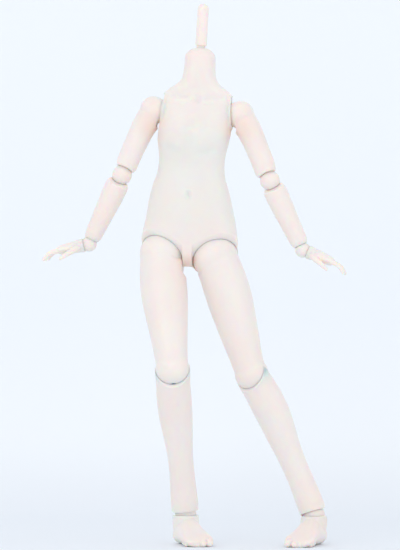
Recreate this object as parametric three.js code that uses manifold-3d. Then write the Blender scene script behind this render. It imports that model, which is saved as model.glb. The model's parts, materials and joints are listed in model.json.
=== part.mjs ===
// A cast-resin ball-jointed doll body without its head, standing, one third of life size.
// Millimetres, +Z up, the doll faces -Y, and right and left are the doll's own.
// The origin is on the floor, under the middle of the body's box.

import * as THREE from 'three';
import { mergeVertices } from 'three/addons/utils/BufferGeometryUtils.js';
import Module from 'manifold-3d';

const wasm = await Module();
wasm.setup();

// Clearances and walls

const fit = 0.3;            // gap between a ball and its cup, and between pieces that touch
const finest = 0.1;         // edges shorter than this are closed up after a cut
const wall = 4.0;           // thickness of the casting round the torso's hollow

// Torso, measured from the middle of the line through the hip balls

const hipBall = 22.8;        // radius of the ball cast on each thigh
const hipSpan = 52.8;       // between the centres of the hip balls
const hipLip = 1.2;         // the rim of the hip opening stands this far out of the ball
const hipRimSide = 31.7;    // degrees that the rim rises from the crotch to the flank
const hipRimFront = 44;     // degrees that the rim rises from the back to the front
const crotchWidth = 9.2;    // bridge of the torso between the legs
const shoulderBall = 14;    // radius of the ball at the top of each arm
const shoulderSpan = 87;
const shoulderHeight = 143;
const shoulderLip = 2;      // the rim of the shoulder's cup stands this far out of the ball
const shoulderFace = 8.6;   // from the centre of the shoulder ball to the rim of its cup
const shoulderRimTilt = 5;  // degrees that the rim faces up
const armLowest = 11;       // degrees that a lowered arm keeps from the torso's own line
const neckHeight = 207.5;   // top of the neck's crown
const postRadius = 5.75;
const postStem = 4.5;       // radius of the stem below the post's foot
const postFoot = 2;         // from the crown to the underside of the post's foot
const postTop = 44.5;       // from the crown to the top of the post
const postDepth = 9;        // how far the stem reaches into the crown
const postHole = 3.2;       // radius of the neck's bore below it

// Arms

const upperArm = 72;        // shoulder to elbow
const forearm = 76.5;       // elbow to wrist
const elbowBall = 10;
const elbowBand = 6.6;      // from the ball's centre to the rim of either cup
const wristBall = 7.7;
const wristBand = 5.2;
const fingerRadius = 2.1;
const fingerLength = 17;
const thumbLength = 15;

// Legs

const thigh = 122;          // hip to knee
const shin = 154;           // knee to ankle
const kneeBall = 16.8;
const kneeRim = 3;          // height of the shin's cup at the sides, above the knee's centre
const ankleBall = 10.8;
const ankleHem = 2.6;       // the shin's end stands this far above the ankle's centre
const ankleCollar = 4.8;    // the foot's collar stands this far below it, at the sides
const ankleRake = 9;        // degrees that the collar rises to the front
const ankleHeight = 30.5;   // ankle to sole
const footLength = 72;
const heelLength = 15;      // from the ankle back to the heel
const footWidth = 31;

// Elastic cord, steel hooks and bars

const cordRadius = 1.5;
const cordBore = 2.5;
const cordEnd = 0.2;        // each run of elastic stops this far from the skin of a free ball
const wireRadius = 0.9;
const barRadius = 1.2;

// Ranges that the slots and rims allow, in degrees

const elbowBend = 42;       // the free ball turns this far in each of its two cups
const elbowScoop = 25;      // slope of the forearm's rim at the front
const elbowNotch = 15;      // slope of the upper arm's rim at the front
const wristBend = 70;
const kneeBend = 88;
const kneeFront = 49;       // slope of the shin's rim at the front
const kneeBack = 60;        // slope of the shin's rim at the back
const hipBack = 8;          // the thigh swings back this far from the pose
const hipForward = 40;      // the bent leg swings forward this far from the pose
const rimGap = 0.7;         // room between the thigh's shoulder and the rim of the hip opening
const hipMouth = 30;        // half angle of the opening on top of the thigh's ball
const hipRecess = 7.5;      // radius of the recess below the ball's centre
const hipStub = 12;         // length of the elastic's first stretch below the ball's centre
const ankleMouth = 38;
const anklePoint = 50;
const armSlotLow = -4;      // the slot in the arm's ball, from its top to its inner side
const armSlotHigh = 90;

// Pose of the photograph, in degrees

const torsoLean = 3.3;      // the chest leans to the doll's left
const torsoTurn = -6;       // the body is turned a little to its right
const leftThighOut = 17.4;
const leftThighForward = 5;
const leftShinOut = 24;
const leftShinBack = 5;
const rightAnkleIn = 23;    // mm that the right ankle stands in from its hip
const rightAnkleBack = 6;   // mm that it stands behind its hip
const leftFootTurn = -20;
const rightFootTurn = 16;
const upperArmOut = [26.3, 24.3];
const forearmOut = [25.6, 25.4];
const handOut = [78, 68];

const side = 16;            // facets round a limb
const ballSide = 18;        // facets round a hip's ball
const smallSide = 14;       // facets round the small balls
const resin = { color: 0xf3ebe2, roughness: 0.42, metalness: 0 };
const steel = { color: 0xb9bcc0, roughness: 0.3, metalness: 1 };
const elastic = { color: 0xf4f4f1, roughness: 0.8, metalness: 0 };

const deg = Math.PI / 180;
const v = (x, y, z) => new THREE.Vector3(x, y, z);

// Closed meshes become solids here, and solids become meshes again

function solid(geometry) {
  const bare = geometry.clone();
  bare.deleteAttribute('normal');
  bare.deleteAttribute('uv');
  const merged = mergeVertices(bare, 1e-5);
  const triVerts = Uint32Array.from(merged.index.array);
  const vertProperties = Float32Array.from(merged.attributes.position.array);
  return new wasm.Manifold(new wasm.Mesh({ numProp: 3, vertProperties, triVerts }));
}

function geometryOf(manifold) {
  const mesh = manifold.simplify(finest).getMesh();
  const geometry = new THREE.BufferGeometry();
  const corners = new THREE.BufferAttribute(Float32Array.from(mesh.vertProperties), 3);
  geometry.setAttribute('position', corners);
  geometry.setIndex(Array.from(mesh.triVerts));
  geometry.computeVertexNormals();
  return geometry;
}

const join = (...parts) => parts.reduce((a, b) => a.add(b));
const cut = (body, ...tools) => tools.reduce((a, b) => a.subtract(b), body);

// The main body that cuts leave, without the slivers at a sharp rim
const main = (body) => body.decompose().sort((a, b) => b.volume() - a.volume())[0];

function placed(geometry, at, turn = new THREE.Quaternion()) {
  const matrix = new THREE.Matrix4().compose(at, turn, v(1, 1, 1));
  return solid(geometry.clone().applyMatrix4(matrix));
}

function mirrored(body) {
  const geometry = geometryOf(body);
  const place = geometry.attributes.position;
  for (let i = 0; i < place.count; i++) place.setX(i, -place.getX(i));
  const index = geometry.index.array;
  for (let i = 0; i < index.length; i += 3) [index[i], index[i + 1]] = [index[i + 1], index[i]];
  return solid(geometry);
}

const ball = (radius, at = v(0, 0, 0), around = side) =>
  placed(new THREE.SphereGeometry(radius, around, Math.round(around / 2)), at,
    new THREE.Quaternion().setFromAxisAngle(v(1, 0, 0), Math.PI / 2));

// A faceted cup that a true ball of this radius still turns in
const cup = (radius, at, around = smallSide) =>
  ball((radius + fit) / Math.cos(Math.PI / around) ** 2, at, around);

function rod(radius, from, to, around = 8, radiusTo = radius) {
  const along = to.clone().sub(from);
  const geometry = new THREE.CylinderGeometry(radiusTo, radius, along.length(), around);
  const turn = new THREE.Quaternion().setFromUnitVectors(v(0, 1, 0), along.clone().normalize());
  return placed(geometry, from.clone().add(to).multiplyScalar(0.5), turn);
}

// Everything on the side of a plane that its normal points to
function beyond(point, normal, reach = 160) {
  const turn = new THREE.Quaternion().setFromUnitVectors(v(0, 0, 1), normal.clone().normalize());
  const middle = normal.clone().normalize().multiplyScalar(reach / 2).add(point);
  return placed(new THREE.BoxGeometry(reach * 2, reach * 2, reach), middle, turn);
}

// A slot from a ball's centre outwards, its angles counted from +Z towards -Y, then turned about Z
function slot(radius, from, to, width, turn = 0) {
  const shape = new THREE.Shape();
  const steps = 4;
  shape.moveTo(0, 0);
  for (let i = 0; i <= steps; i++) {
    const angle = (from + ((to - from) * i) / steps) * deg;
    shape.lineTo(Math.sin(angle) * radius, Math.cos(angle) * radius);
  }
  const geometry = new THREE.ExtrudeGeometry(shape, { depth: width, bevelEnabled: false });
  geometry.translate(0, 0, -width / 2);
  geometry.applyMatrix4(new THREE.Matrix4().makeBasis(v(0, -1, 0), v(0, 0, 1), v(-1, 0, 0)));
  geometry.rotateZ(turn * deg);
  const spin = new THREE.Quaternion().setFromAxisAngle(v(0, 0, 1), turn * deg);
  const ends = [from, to].map((angle) => {
    const tip = v(0, -Math.sin(angle * deg), Math.cos(angle * deg)).multiplyScalar(radius);
    tip.applyQuaternion(spin);
    return rod(width / 2, tip.clone().multiplyScalar(-0.04), tip, 6);
  });
  return join(solid(geometry), ball(width / 2, v(0, 0, 0), 6), ...ends);
}

// A body through key sections: [height, half width, front, back, middle x, middle y, squareness]
function loft(keys, rings, around = side) {
  const size = 6;
  const heights = keys.map((key) => key[0]);
  const values = keys.flatMap((key) => {
    const [, width, front, back = front, x = 0, y = 0, square = 2] = key;
    return [width, front, back, x, y, square];
  });
  const curve = new THREE.CubicInterpolant(heights, values, size);
  const low = heights[0];
  const high = heights[heights.length - 1];
  const points = [];
  for (let r = 0; r <= rings; r++) {
    // rings draw together at both ends, where the form turns most
    const share = r / rings;
    const eased = 0.65 * share + 0.35 * (0.5 - 0.5 * Math.cos(Math.PI * share));
    const z = low + (high - low) * eased;
    const [width, front, back, x, y, square] = curve.evaluate(z);
    for (let i = 0; i < around; i++) {
      const angle = (2 * Math.PI * i) / around;
      const c = Math.cos(angle);
      const s = Math.sin(angle);
      const px = Math.sign(c) * Math.abs(c) ** (2 / square) * Math.max(width, 0.2);
      const depth = Math.max(s > 0 ? back : front, 0.2);
      const py = Math.sign(s) * Math.abs(s) ** (2 / square) * depth;
      points.push(x + px, y + py, z);
    }
  }
  const first = curve.evaluate(low);
  points.push(first[3], first[4], low);
  const last = curve.evaluate(high);
  points.push(last[3], last[4], high);
  const geometry = new THREE.BufferGeometry();
  geometry.setAttribute('position', new THREE.Float32BufferAttribute(points, 3));
  geometry.setIndex(wrap(rings, around));
  return geometry;
}

// The faces between rings of points, and from the end rings to the two last points
function wrap(rings, around) {
  const faces = [];
  const foot = (rings + 1) * around;
  for (let i = 0; i < around; i++) {
    const j = (i + 1) % around;
    for (let r = 0; r < rings * around; r += around) {
      faces.push(r + i, r + j, r + j + around, r + i, r + j + around, r + i + around);
    }
    faces.push(foot, j, i, foot + 1, rings * around + i, rings * around + j);
  }
  return faces;
}

// A tapering finger or toe along a line of points, rounded at its tip
function digit(points, radii, around = 7) {
  const rings = points.map((point, i) => [point, radii[i]]);
  const tip = points[points.length - 1];
  const tipRadius = radii[radii.length - 1];
  const ahead = tip.clone().sub(points[points.length - 2]).normalize();
  for (const share of [0.6, 0.95]) {
    const shrunk = tipRadius * Math.sqrt(1 - share ** 2);
    rings.push([tip.clone().addScaledVector(ahead, tipRadius * share), shrunk]);
  }
  const corners = [];
  rings.forEach(([point, radius], r) => {
    const before = rings[Math.max(r - 1, 0)][0];
    const after = rings[Math.min(r + 1, rings.length - 1)][0];
    const turn = limbTurn(after.clone().sub(before), v(0, -1, 0));
    for (let i = 0; i < around; i++) {
      const angle = (2 * Math.PI * i) / around;
      const spoke = v(Math.cos(angle) * radius, Math.sin(angle) * radius, 0);
      corners.push(...spoke.applyQuaternion(turn).add(point).toArray());
    }
  });
  corners.push(...rings[0][0].toArray());
  corners.push(...tip.clone().addScaledVector(ahead, tipRadius).toArray());
  const geometry = new THREE.BufferGeometry();
  geometry.setAttribute('position', new THREE.Float32BufferAttribute(corners, 3));
  geometry.setIndex(wrap(rings.length - 1, around).map((_, i, all) => all[all.length - 1 - i]));
  return solid(geometry);
}

// A run of cord or bent wire through points, with flat ends
function strand(points, radius, around = 8, steps = 4) {
  const shape = new THREE.Shape();
  for (let i = 0; i < around; i++) {
    const angle = (2 * Math.PI * i) / around;
    const place = [Math.cos(angle) * radius, Math.sin(angle) * radius];
    if (i === 0) shape.moveTo(...place);
    else shape.lineTo(...place);
  }
  const path = points.length === 2 ? new THREE.LineCurve3(...points)
    : new THREE.CatmullRomCurve3(points, false, 'centripetal');
  const count = points.length === 2 ? 1 : steps * (points.length - 1);
  return solid(new THREE.ExtrudeGeometry(shape, { steps: count, extrudePath: path }));
}

// Torso: one casting from the neck to the legs

const hips = [-1, 1].map((hand) => v((hand * hipSpan) / 2, 0, 0));
const shoulders = [-1, 1].map((hand) => v((hand * shoulderSpan) / 2, 0, shoulderHeight));
const neckY = 2;

const torsoKeys = [
  [-11, 6, 8, 10, 0, 1],
  [-7, 14, 13, 17, 0, 1],
  [0, 40, 18, 24, 0, 0],
  [12, 48.2, 21, 28, 0, 0, 2.2],
  [22, 47.4, 22.5, 28.5, 0, 0, 2.3],
  [33, 45.5, 24, 26, 0, 0, 2.3],
  [45, 43.2, 24, 22, -0.8, 0, 2.3],
  [57, 40.9, 22.5, 18, -1.6, 0, 2.2],
  [69, 37.8, 20.5, 15.5, -2.2, 0, 2.2],
  [80, 34.3, 19.2, 14.5, -2.4, 0, 2.2],
  [90, 33.1, 19.2, 15.5, -2.4, 0, 2.2],
  [100, 33.4, 21, 17.5, -2.4, 0, 2.3],
  [112, 35.4, 24, 20, -2.2, 0, 2.3],
  [124, 37.0, 24.5, 22.5, -1.8, 0, 2.4],
  [134, 36.4, 21.5, 23, -1.2, 1, 2.4],
  [145, 36.6, 17.5, 21.5, -0.6, 2, 2.3],
  [154, 36, 14, 18.5, -0.2, 3, 2.2],
  [160, 34.6, 12.5, 16, 0, 3.5, 2.1],
  [165, 28.5, 12.5, 14.5, 0, 3.6],
  [170, 22, 13.2, 13.8, 0, 3.4],
  [176, 17.3, 14, 14, 0, 3],
  [184, 16, 14.2, 14.2, 0, 2.6],
  [194, 15.4, 14, 14, 0, 2.2],
  [200, 15.1, 13.8, 13.8, 0, neckY],
  [204, 12.2, 11.4, 11.4, 0, neckY],
  [neckHeight - 1, 8.4, 8.2, 8.2, 0, neckY],
  [neckHeight, 6.6, 6.6, 6.6, 0, neckY],
];

const hollowFloor = 29;
const hollowKeys = torsoKeys.filter((key) => key[0] > hollowFloor && key[0] < 130)
  .map(([z, w, f, b, x, y, square]) => [z, w - wall, f - wall, b - wall, x, y, square]);
hollowKeys.push([140, 24, 12, 15, 0, 1], [150, 19, 8, 11, 0, 2], [158, 8, 4, 6, 0, neckY]);

// The rim of a hip opening lies in a plane through the centre of its ball
function hipRimNormal(hand) {
  const along = v(-hand * Math.cos(hipRimSide * deg), 0, -Math.sin(hipRimSide * deg));
  const across = v(-hand * Math.sin(hipRimSide * deg), 0, Math.cos(hipRimSide * deg));
  const front = across.clone().multiplyScalar(Math.sin(hipRimFront * deg));
  front.add(v(0, -Math.cos(hipRimFront * deg), 0));
  const normal = new THREE.Vector3().crossVectors(along, front).normalize();
  return normal.z < 0 ? normal.negate() : normal;
}

function shoulderOut(hand) {
  return v(hand * Math.cos(shoulderRimTilt * deg), 0, Math.sin(shoulderRimTilt * deg));
}

function makeTorso(legCordRoutes) {
  let body = solid(loft(torsoKeys, 26, 26));
  for (const [i, hand] of [-1, 1].entries()) {
    body = join(body, ball(hipBall + hipLip, hips[i], ballSide));
    const rim = hipRimNormal(hand);
    const below = beyond(hips[i], rim.clone().negate());
    const flank = beyond(v((hand * crotchWidth) / 2, 0, 0), v(hand, 0, 0));
    body = cut(body, below.intersect(flank));
  }
  for (const [i, hand] of [-1, 1].entries()) {
    body = cut(body, cup(hipBall, hips[i], ballSide));
    body = join(body, ball(shoulderBall + shoulderLip, shoulders[i], side));
    const out = shoulderOut(hand);
    const face = shoulders[i].clone().addScaledVector(out, -shoulderFace);
    const past = beyond(v(hand * 20, 0, 0), v(hand, 0, 0));
    const high = beyond(v(0, 0, shoulderHeight - 2 * shoulderBall), v(0, 0, 1));
    body = cut(body, beyond(face, out).intersect(past).intersect(high));
    body = cut(body, cup(shoulderBall, shoulders[i], side));
  }
  body = cut(body, solid(loft(hollowKeys, 10, 14)));
  body = cut(body, rod(cordBore + 0.4, shoulders[0], shoulders[1]));
  for (const route of legCordRoutes) {
    body = cut(body, rod(6, route[0], route[1], 10));
  }
  const crown = v(0, neckY, neckHeight);
  body = cut(body, rod(postStem + fit, crown.clone().setZ(neckHeight - postDepth), crown
    .clone().setZ(neckHeight + 4), 16));
  return cut(body, rod(postHole, v(0, neckY, 150), crown, 10));
}

// Head post: a rod with a rounded foot, on a stem that turns in the crown

function makePost() {
  const r = postRadius;
  const profile = [[0, -postDepth + fit], [postStem, -postDepth + fit], [postStem, fit + 0.6]];
  for (let i = 0; i <= 4; i++) {
    const a = ((i / 4) * Math.PI) / 2;
    profile.push([r - 1.6 + 1.6 * Math.sin(a), postFoot + 1.6 - 1.6 * Math.cos(a)]);
  }
  for (let i = 0; i <= 6; i++) {
    const a = ((i / 6) * Math.PI) / 2;
    profile.push([r * Math.cos(a), postTop - r + r * Math.sin(a)]);
  }
  const points = profile.map(([x, y]) => new THREE.Vector2(Math.max(x, 0), y));
  points[points.length - 1].x = 0;
  return placed(new THREE.LatheGeometry(points, 16).rotateX(Math.PI / 2), v(0, 0, 0));
}

// Arms, from the centre of each joint down -Z, with the palm towards +X

function makeUpperArm() {
  const end = -upperArm;
  const keys = [
    [end + elbowBand, 8.9, 8.9],
    [end + elbowBand + 3, 10.6, 10.4],
    [end + 16, 11.2, 11, 11, -0.7],
    [end + 32, 11.5, 11.4, 11.4, -1.5],
    [end + 50, 12.2, 12, 12, -1.8],
    [-12, 12.6, 12.4, 12.4, -1],
    [-6, 12, 12, 12, -0.4],
    [0, 10, 10],
  ];
  // the inner side is relieved for the rim of the cup with the arm lowered
  const shell = cup(shoulderBall + shoulderLip + 2, v(0, 0, 0), side).intersect(
    beyond(shoulderOut(-1).multiplyScalar(0.6 - shoulderFace), shoulderOut(-1).negate()));
  const lowered = new THREE.Quaternion().setFromAxisAngle(v(0, 1, 0), -armLowest * deg);
  const relief = placed(geometryOf(shell), v(0, 0, 0), lowered);
  const body = join(solid(loft(keys, 9, side)).subtract(relief), ball(shoulderBall));
  const notch = v(0, -Math.sin(elbowNotch * deg), -Math.cos(elbowNotch * deg));
  return cut(body,
    cup(elbowBall, v(0, 0, end), smallSide),
    rod(cordBore, v(0, 0, 0.7), v(0, 0, end)),
    slot(elbowBall + 3, -elbowBend - 4, 0, 2 * cordBore).translate([0, 0, end]),
    beyond(v(0, 0, end + elbowBand), notch),
    slot(shoulderBall + 2, armSlotLow, armSlotHigh, 2 * cordBore, 90));
}

function makeElbowBall() {
  const rim = v(0, 0, elbowBall + 2);
  return cut(ball(elbowBall, v(0, 0, 0), smallSide),
    rod(cordBore, rim.clone().negate(), rim));
}

function makeForearm() {
  const end = -forearm;
  const keys = [
    [end + wristBand, 6.9, 6.9],
    [end + wristBand + 2.5, 8.4, 8.2],
    [end + 16, 9.2, 8.9],
    [end + 34, 10.3, 10],
    [end + 52, 11.4, 11],
    [-14, 11.6, 11.3],
    [-elbowBand - 2.5, 11, 11],
    [-elbowBand, 9, 9],
  ];
  const scoop = v(0, -Math.sin(elbowScoop * deg), Math.cos(elbowScoop * deg));
  return cut(solid(loft(keys, 10, 16)),
    cup(elbowBall, v(0, 0, 0), smallSide),
    cup(wristBall, v(0, 0, end), smallSide),
    rod(cordBore, v(0, 0, 0), v(0, 0, end)),
    slot(elbowBall + 3, 180, 184 + elbowBend, 2 * cordBore),
    beyond(v(0, 0, -elbowBand), scoop));
}

function makeWristBall() {
  return cut(ball(wristBall, v(0, 0, 0), smallSide),
    rod(cordBore - 0.3, v(0, 0, -0.7), v(0, 0, wristBall + 2)),
    slot(wristBall + 2, 180 - wristBend - 6, 186 + wristBend, 2 * wireRadius + 1.2, 90));
}

const handBar = 13;         // from the wrist to the bar across the hand's recess
const palmLength = 31;

function makeHand() {
  const keys = [
    [-palmLength - 2.5, 2.4, 9],
    [-palmLength, 4.2, 11.2],
    [-palmLength + 5, 5.1, 12],
    [-palmLength + 12, 5.9, 11.4],
    [-wristBand - 6, 6.4, 8.8],
    [-wristBand - 2, 6.9, 7.6],
    [-wristBand, 6.6, 6.8],
  ];
  let body = solid(loft(keys, 8, 14));
  for (let i = 0; i < 4; i++) {
    const y = -8.3 + i * 5.5;
    const long = fingerLength * [0.94, 1.04, 1, 0.82][i];
    const r = fingerRadius * [1, 1.02, 1, 0.9][i];
    const root = -palmLength + 3;
    const spread = (i - 1.4) * 0.9;
    body = join(body, digit([
      v(0, y, root),
      v(0.6, y + spread, root - 4 - long * 0.35),
      v(2.8, y + spread * 1.5, root - 4 - long * 0.68),
      v(6, y + spread * 1.7, root - 4 - long * 0.9),
    ], [r * 1.2, r * 1.12, r, r * 0.8]));
  }
  body = join(body, digit([
    v(1.5, -7, -11),
    v(4, -11, -17.5),
    v(6.2, -13, -14.5 - thumbLength * 0.6),
    v(8.6, -13.2, -14.5 - thumbLength),
  ], [3.6, 3.1, 2.5, 2]));
  return cut(body,
    cup(wristBall, v(0, 0, 0), smallSide),
    rod(3.9, v(0, 0, 0), v(0, 0, -handBar - 4.2)),
    rod(barRadius + fit, v(0, -7.6, -handBar), v(0, 7.6, -handBar)));
}

// Legs, from the centre of each joint down -Z, the inner side towards +X

// The torso's shell round a hip ball, in the frame of a thigh that is turned so against it
function hipShell(turn) {
  const rim = hipRimNormal(-1);
  const shell = ball((hipBall + hipLip + rimGap) / Math.cos(Math.PI / ballSide), v(0, 0, 0), ballSide);
  const body = shell.intersect(beyond(rim.clone().multiplyScalar(-rimGap), rim));
  return placed(geometryOf(body), v(0, 0, 0), turn);
}

function makeThigh(shells) {
  const keys = [
    [-thigh, 16.2, 15.8, 14],
    [-thigh + 10, 16.2, 16.4, 13.4],
    [-thigh + 19, 16.9, 17.2, 14.4, -0.2],
    [-thigh + 31, 18.2, 18.4, 17, -0.4],
    [-thigh + 48, 20.1, 19.6, 19.6, -0.8],
    [-52, 22.6, 20.5, 21.6, -1.3],
    [-38, 23.3, 20.8, 22.4, -1.6],
    [-25, 23.2, 20.8, 22.4, -1.5],
    [-15, 22.8, 20.9, 22, -1],
    [-7, 22.5, 21.6, 21.8, -0.5],
    [0, 22.1, 21.8, 21.6, -0.1],
    [4, 21.6, 21.4, 21.4, 0],
  ];
  const body = join(cut(solid(loft(keys, 15, ballSide)), ...shells),
    ball(hipBall, v(0, 0, 0), ballSide), ball(kneeBall, v(0, 0, -thigh)));
  const mouth = Math.tan(hipMouth * deg) * (hipBall + 4);
  const knee = slot(kneeBall + 6, 176, 180 + kneeBend + 8, 2 * cordBore);
  return cut(body,
    rod(cordBore, v(0, 0, -1), v(0, 0, hipBall + 3), 12, mouth),
    rod(hipRecess, v(0, 0, 1), v(0, 0, -hipStub - 3), 10),
    rod(cordBore, v(0, 0, 0), v(0, 0, -thigh)),
    knee.translate([0, 0, -thigh]));
}

function makeShin() {
  const end = -shin;
  const keys = [
    [end + ankleHem, 12.2, 11.8, 12, 0, 0],
    [end + ankleHem + 2.4, 13.2, 12.6, 12.8, 0, 0.5],
    [end + 16, 13.5, 12.8, 13, 0, 1.6],
    [end + 28, 13, 12.4, 13, 0, 2.6],
    [end + 47, 12.5, 12, 13.4, 0, 3],
    [end + 67, 13.2, 12.6, 15.4, -0.1, 3],
    [end + 87, 15.2, 13.8, 18.2, -0.5, 3],
    [-47, 16.9, 14.8, 20.2, -0.9, 2.8],
    [-28, 17.3, 16, 19.6, -0.9, 2],
    [-16, 16.9, 17, 18.4, -0.5, 0.8],
    [-5, 17.6, 18.2, 17.6, 0, 0],
    [kneeRim + 3, 17.2, 18, 17, 0, 0],
  ];
  const top = v(0, 0, kneeRim);
  const frontCut = v(0, -Math.sin(kneeFront * deg), Math.cos(kneeFront * deg));
  const backCut = v(0, Math.sin(kneeBack * deg), Math.cos(kneeBack * deg));
  return main(cut(solid(loft(keys, 16, side)),
    cup(kneeBall, v(0, 0, 0), side),
    cup(ankleBall, v(0, 0, end), smallSide),
    rod(cordBore, v(0, 0, 0), v(0, 0, end)),
    beyond(top, frontCut),
    beyond(top, backCut)));
}

function makeAnkleBall() {
  const mouth = Math.tan(ankleMouth * deg) * (ankleBall + 2);
  return cut(ball(ankleBall, v(0, 0, 0), smallSide),
    rod(cordBore, v(0, 0, 0), v(0, 0, ankleBall + 2)),
    rod(1.6, v(0, 0, 1), v(0, 0, -ankleBall - 2), 12, mouth),
    slot(ankleBall + 2, 180 - ankleMouth, 180 + anklePoint + 8, 2 * wireRadius + 1.2));
}

const footBar = 17;         // from the ankle to the bar across the foot's recess

function makeFoot() {
  const sole = -ankleHeight;
  const toe = footLength - heelLength;
  const half = footWidth / 2;
  const keys = [
    [-heelLength, 5, 6, 5, 0, sole + 9.5],
    [-heelLength + 4, 10.2, 9.6, 8, 0, sole + 9.5],
    [0, 12.4, 9.8, 11, 0, sole + 9.5],
    [14, 12.9, 9.8, 11.5, 0.4, sole + 9.5],
    [toe - 27, half - 1, 9.4, 6.4, 0.6, sole + 8.8],
    [toe - 15, half, 8.6, 3.8, 0.6, sole + 7.6],
    [toe - 8, half - 1, 7, 2.6, 0.6, sole + 6],
    [toe - 4, half - 4, 4.6, 1.6, 1.4, sole + 4.6],
  ];
  const lay = new THREE.Matrix4().makeBasis(v(1, 0, 0), v(0, 0, 1), v(0, -1, 0));
  const column = [
    [sole + 6, 11.6, 15, 13.2],
    [sole + 14, 12.2, 15.5, 12.8],
    [-ankleCollar - 4, 13.2, 14, 12.8],
    [-ankleCollar, 12.6, 13, 12.2],
    [0, 11.8, 12.4, 11],
  ];
  const rake = v(0, Math.sin(ankleRake * deg), Math.cos(ankleRake * deg));
  let body = join(solid(loft(keys, 11, 14).applyMatrix4(lay)), solid(loft(column, 5, 16)));
  for (let i = 0; i < 5; i++) {
    const x = [9.6, 3.1, -2.4, -7.3, -11.6][i] * (half / 15.5);
    const tip = toe - [0, 0.6, 3, 6, 9.5][i];
    const r = [4.2, 3, 2.8, 2.7, 2.7][i];
    body = join(body, digit([
      v(x, -tip + 12, sole + r + 1.2),
      v(x, -tip + r + 2.5, sole + r + 0.8),
      v(x, -tip + r * 0.92, sole + r * 0.92),
    ], [r, r, r * 0.9]));
  }
  return cut(body,
    beyond(v(0, 0, sole), v(0, 0, -1)),
    beyond(v(0, 0, -ankleCollar), rake),
    cup(ankleBall, v(0, 0, 0), smallSide),
    rod(4.2, v(0, 0, 0), v(0, 0, -footBar - 4.2)),
    rod(barRadius + fit, v(-8.1, 0, -footBar), v(8.1, 0, -footBar)));
}

// A wire from a joint's centre to its bar, closing round the bar. The ring lies in the XZ plane.
function makeHook(reach) {
  const ring = barRadius + fit + wireRadius;
  const points = [v(0, 0, -1), v(0, 0, -reach + ring + 2)];
  for (let i = 0; i <= 6; i++) {
    const angle = (90 - i * 44) * deg;
    points.push(v(Math.cos(angle) * ring, 0, -reach + Math.sin(angle) * ring));
  }
  const wire = strand(points, wireRadius, 5, 2);
  return join(wire, ball(wireRadius * 1.6, v(0, 0, 0), 6));
}

// A stretch of the elastic, its first end rounded
function makeCord(from, to) {
  return join(rod(cordRadius, from, to, 8), ball(cordRadius, from, 6));
}

// Pose: a limb's frame has -Z along the limb and -Y to its front

function limbTurn(down, front) {
  const z = down.clone().negate().normalize();
  const y = front.clone().negate().addScaledVector(z, front.dot(z)).normalize();
  const x = new THREE.Vector3().crossVectors(y, z);
  return new THREE.Quaternion().setFromRotationMatrix(new THREE.Matrix4().makeBasis(x, y, z));
}

const leaning = (out, forward) => v(
  Math.sin(out * deg) * Math.cos(forward * deg),
  -Math.sin(forward * deg),
  -Math.cos(out * deg) * Math.cos(forward * deg));

function frameIn(parent, at, turn) {
  const group = new THREE.Group();
  parent.updateWorldMatrix(true, false);
  group.position.copy(parent.worldToLocal(at.clone()));
  const back = parent.getWorldQuaternion(new THREE.Quaternion()).invert();
  group.quaternion.copy(back.multiply(turn));
  parent.add(group);
  group.updateWorldMatrix(true, false);
  return group;
}

function addPiece(group, name, body, look) {
  const material = new THREE.MeshStandardMaterial(look);
  const mesh = new THREE.Mesh(geometryOf(body), material);
  mesh.name = name;
  group.add(mesh);
  return mesh;
}

const doll = new THREE.Group();
const lean = new THREE.Quaternion().setFromAxisAngle(v(0, 1, 0), torsoLean * deg);
const turnZ = (angle) => new THREE.Quaternion().setFromAxisAngle(v(0, 0, 1), angle * deg);
const torsoTurned = lean.clone().multiply(turnZ(torsoTurn));
const torso = frameIn(doll, v(0, 0, 0), torsoTurned);
const onTorso = (point) => torso.localToWorld(point.clone());
const torsoWay = (way) => way.clone().applyQuaternion(torsoTurned);

// The straighter left leg sets how high the hips stand

const hipAt = hips.map(onTorso);
const leftKneeAt = hipAt[1].clone().addScaledVector(leaning(leftThighOut, leftThighForward), thigh);
const leftAnkleAt = leftKneeAt.clone().addScaledVector(leaning(leftShinOut, -leftShinBack), shin);

// The bent right leg takes up the rest, its knee to the front

const rightAnkleAt = hipAt[0].clone().add(v(rightAnkleIn, rightAnkleBack, 0)).setZ(leftAnkleAt.z);
const span = rightAnkleAt.clone().sub(hipAt[0]);
const reach = span.length();
const atHip = Math.acos((thigh ** 2 + reach ** 2 - shin ** 2) / (2 * thigh * reach));
const kneeSide = new THREE.Vector3().crossVectors(span, v(0, -1, 0)).normalize();
const rightKneeAt = span.clone().normalize().applyAxisAngle(kneeSide, atHip)
  .multiplyScalar(thigh).add(hipAt[0]);
const kneeAt = [rightKneeAt, leftKneeAt];
const ankleAt = [rightAnkleAt, leftAnkleAt];
const footTurn = [rightFootTurn, leftFootTurn];
const names = ['right', 'left'];
const joints = {};

const crown = onTorso(v(0, neckY, neckHeight));
const post = frameIn(torso, crown, torsoTurned);
addPiece(post, 'head_post', makePost(), resin);
joints.head_post = post;

const armWays = names.map((_, i) => {
  const hand = i === 0 ? -1 : 1;
  const local = (angle) => v(hand * Math.sin((angle + hand * torsoLean) * deg), 0,
    -Math.cos((angle + hand * torsoLean) * deg));
  return [upperArmOut[i], forearmOut[i], handOut[i]].map((angle) => torsoWay(local(angle)));
});

// Each thigh's shoulder is relieved for the rim of either hip, in the pose and swung from it

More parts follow.
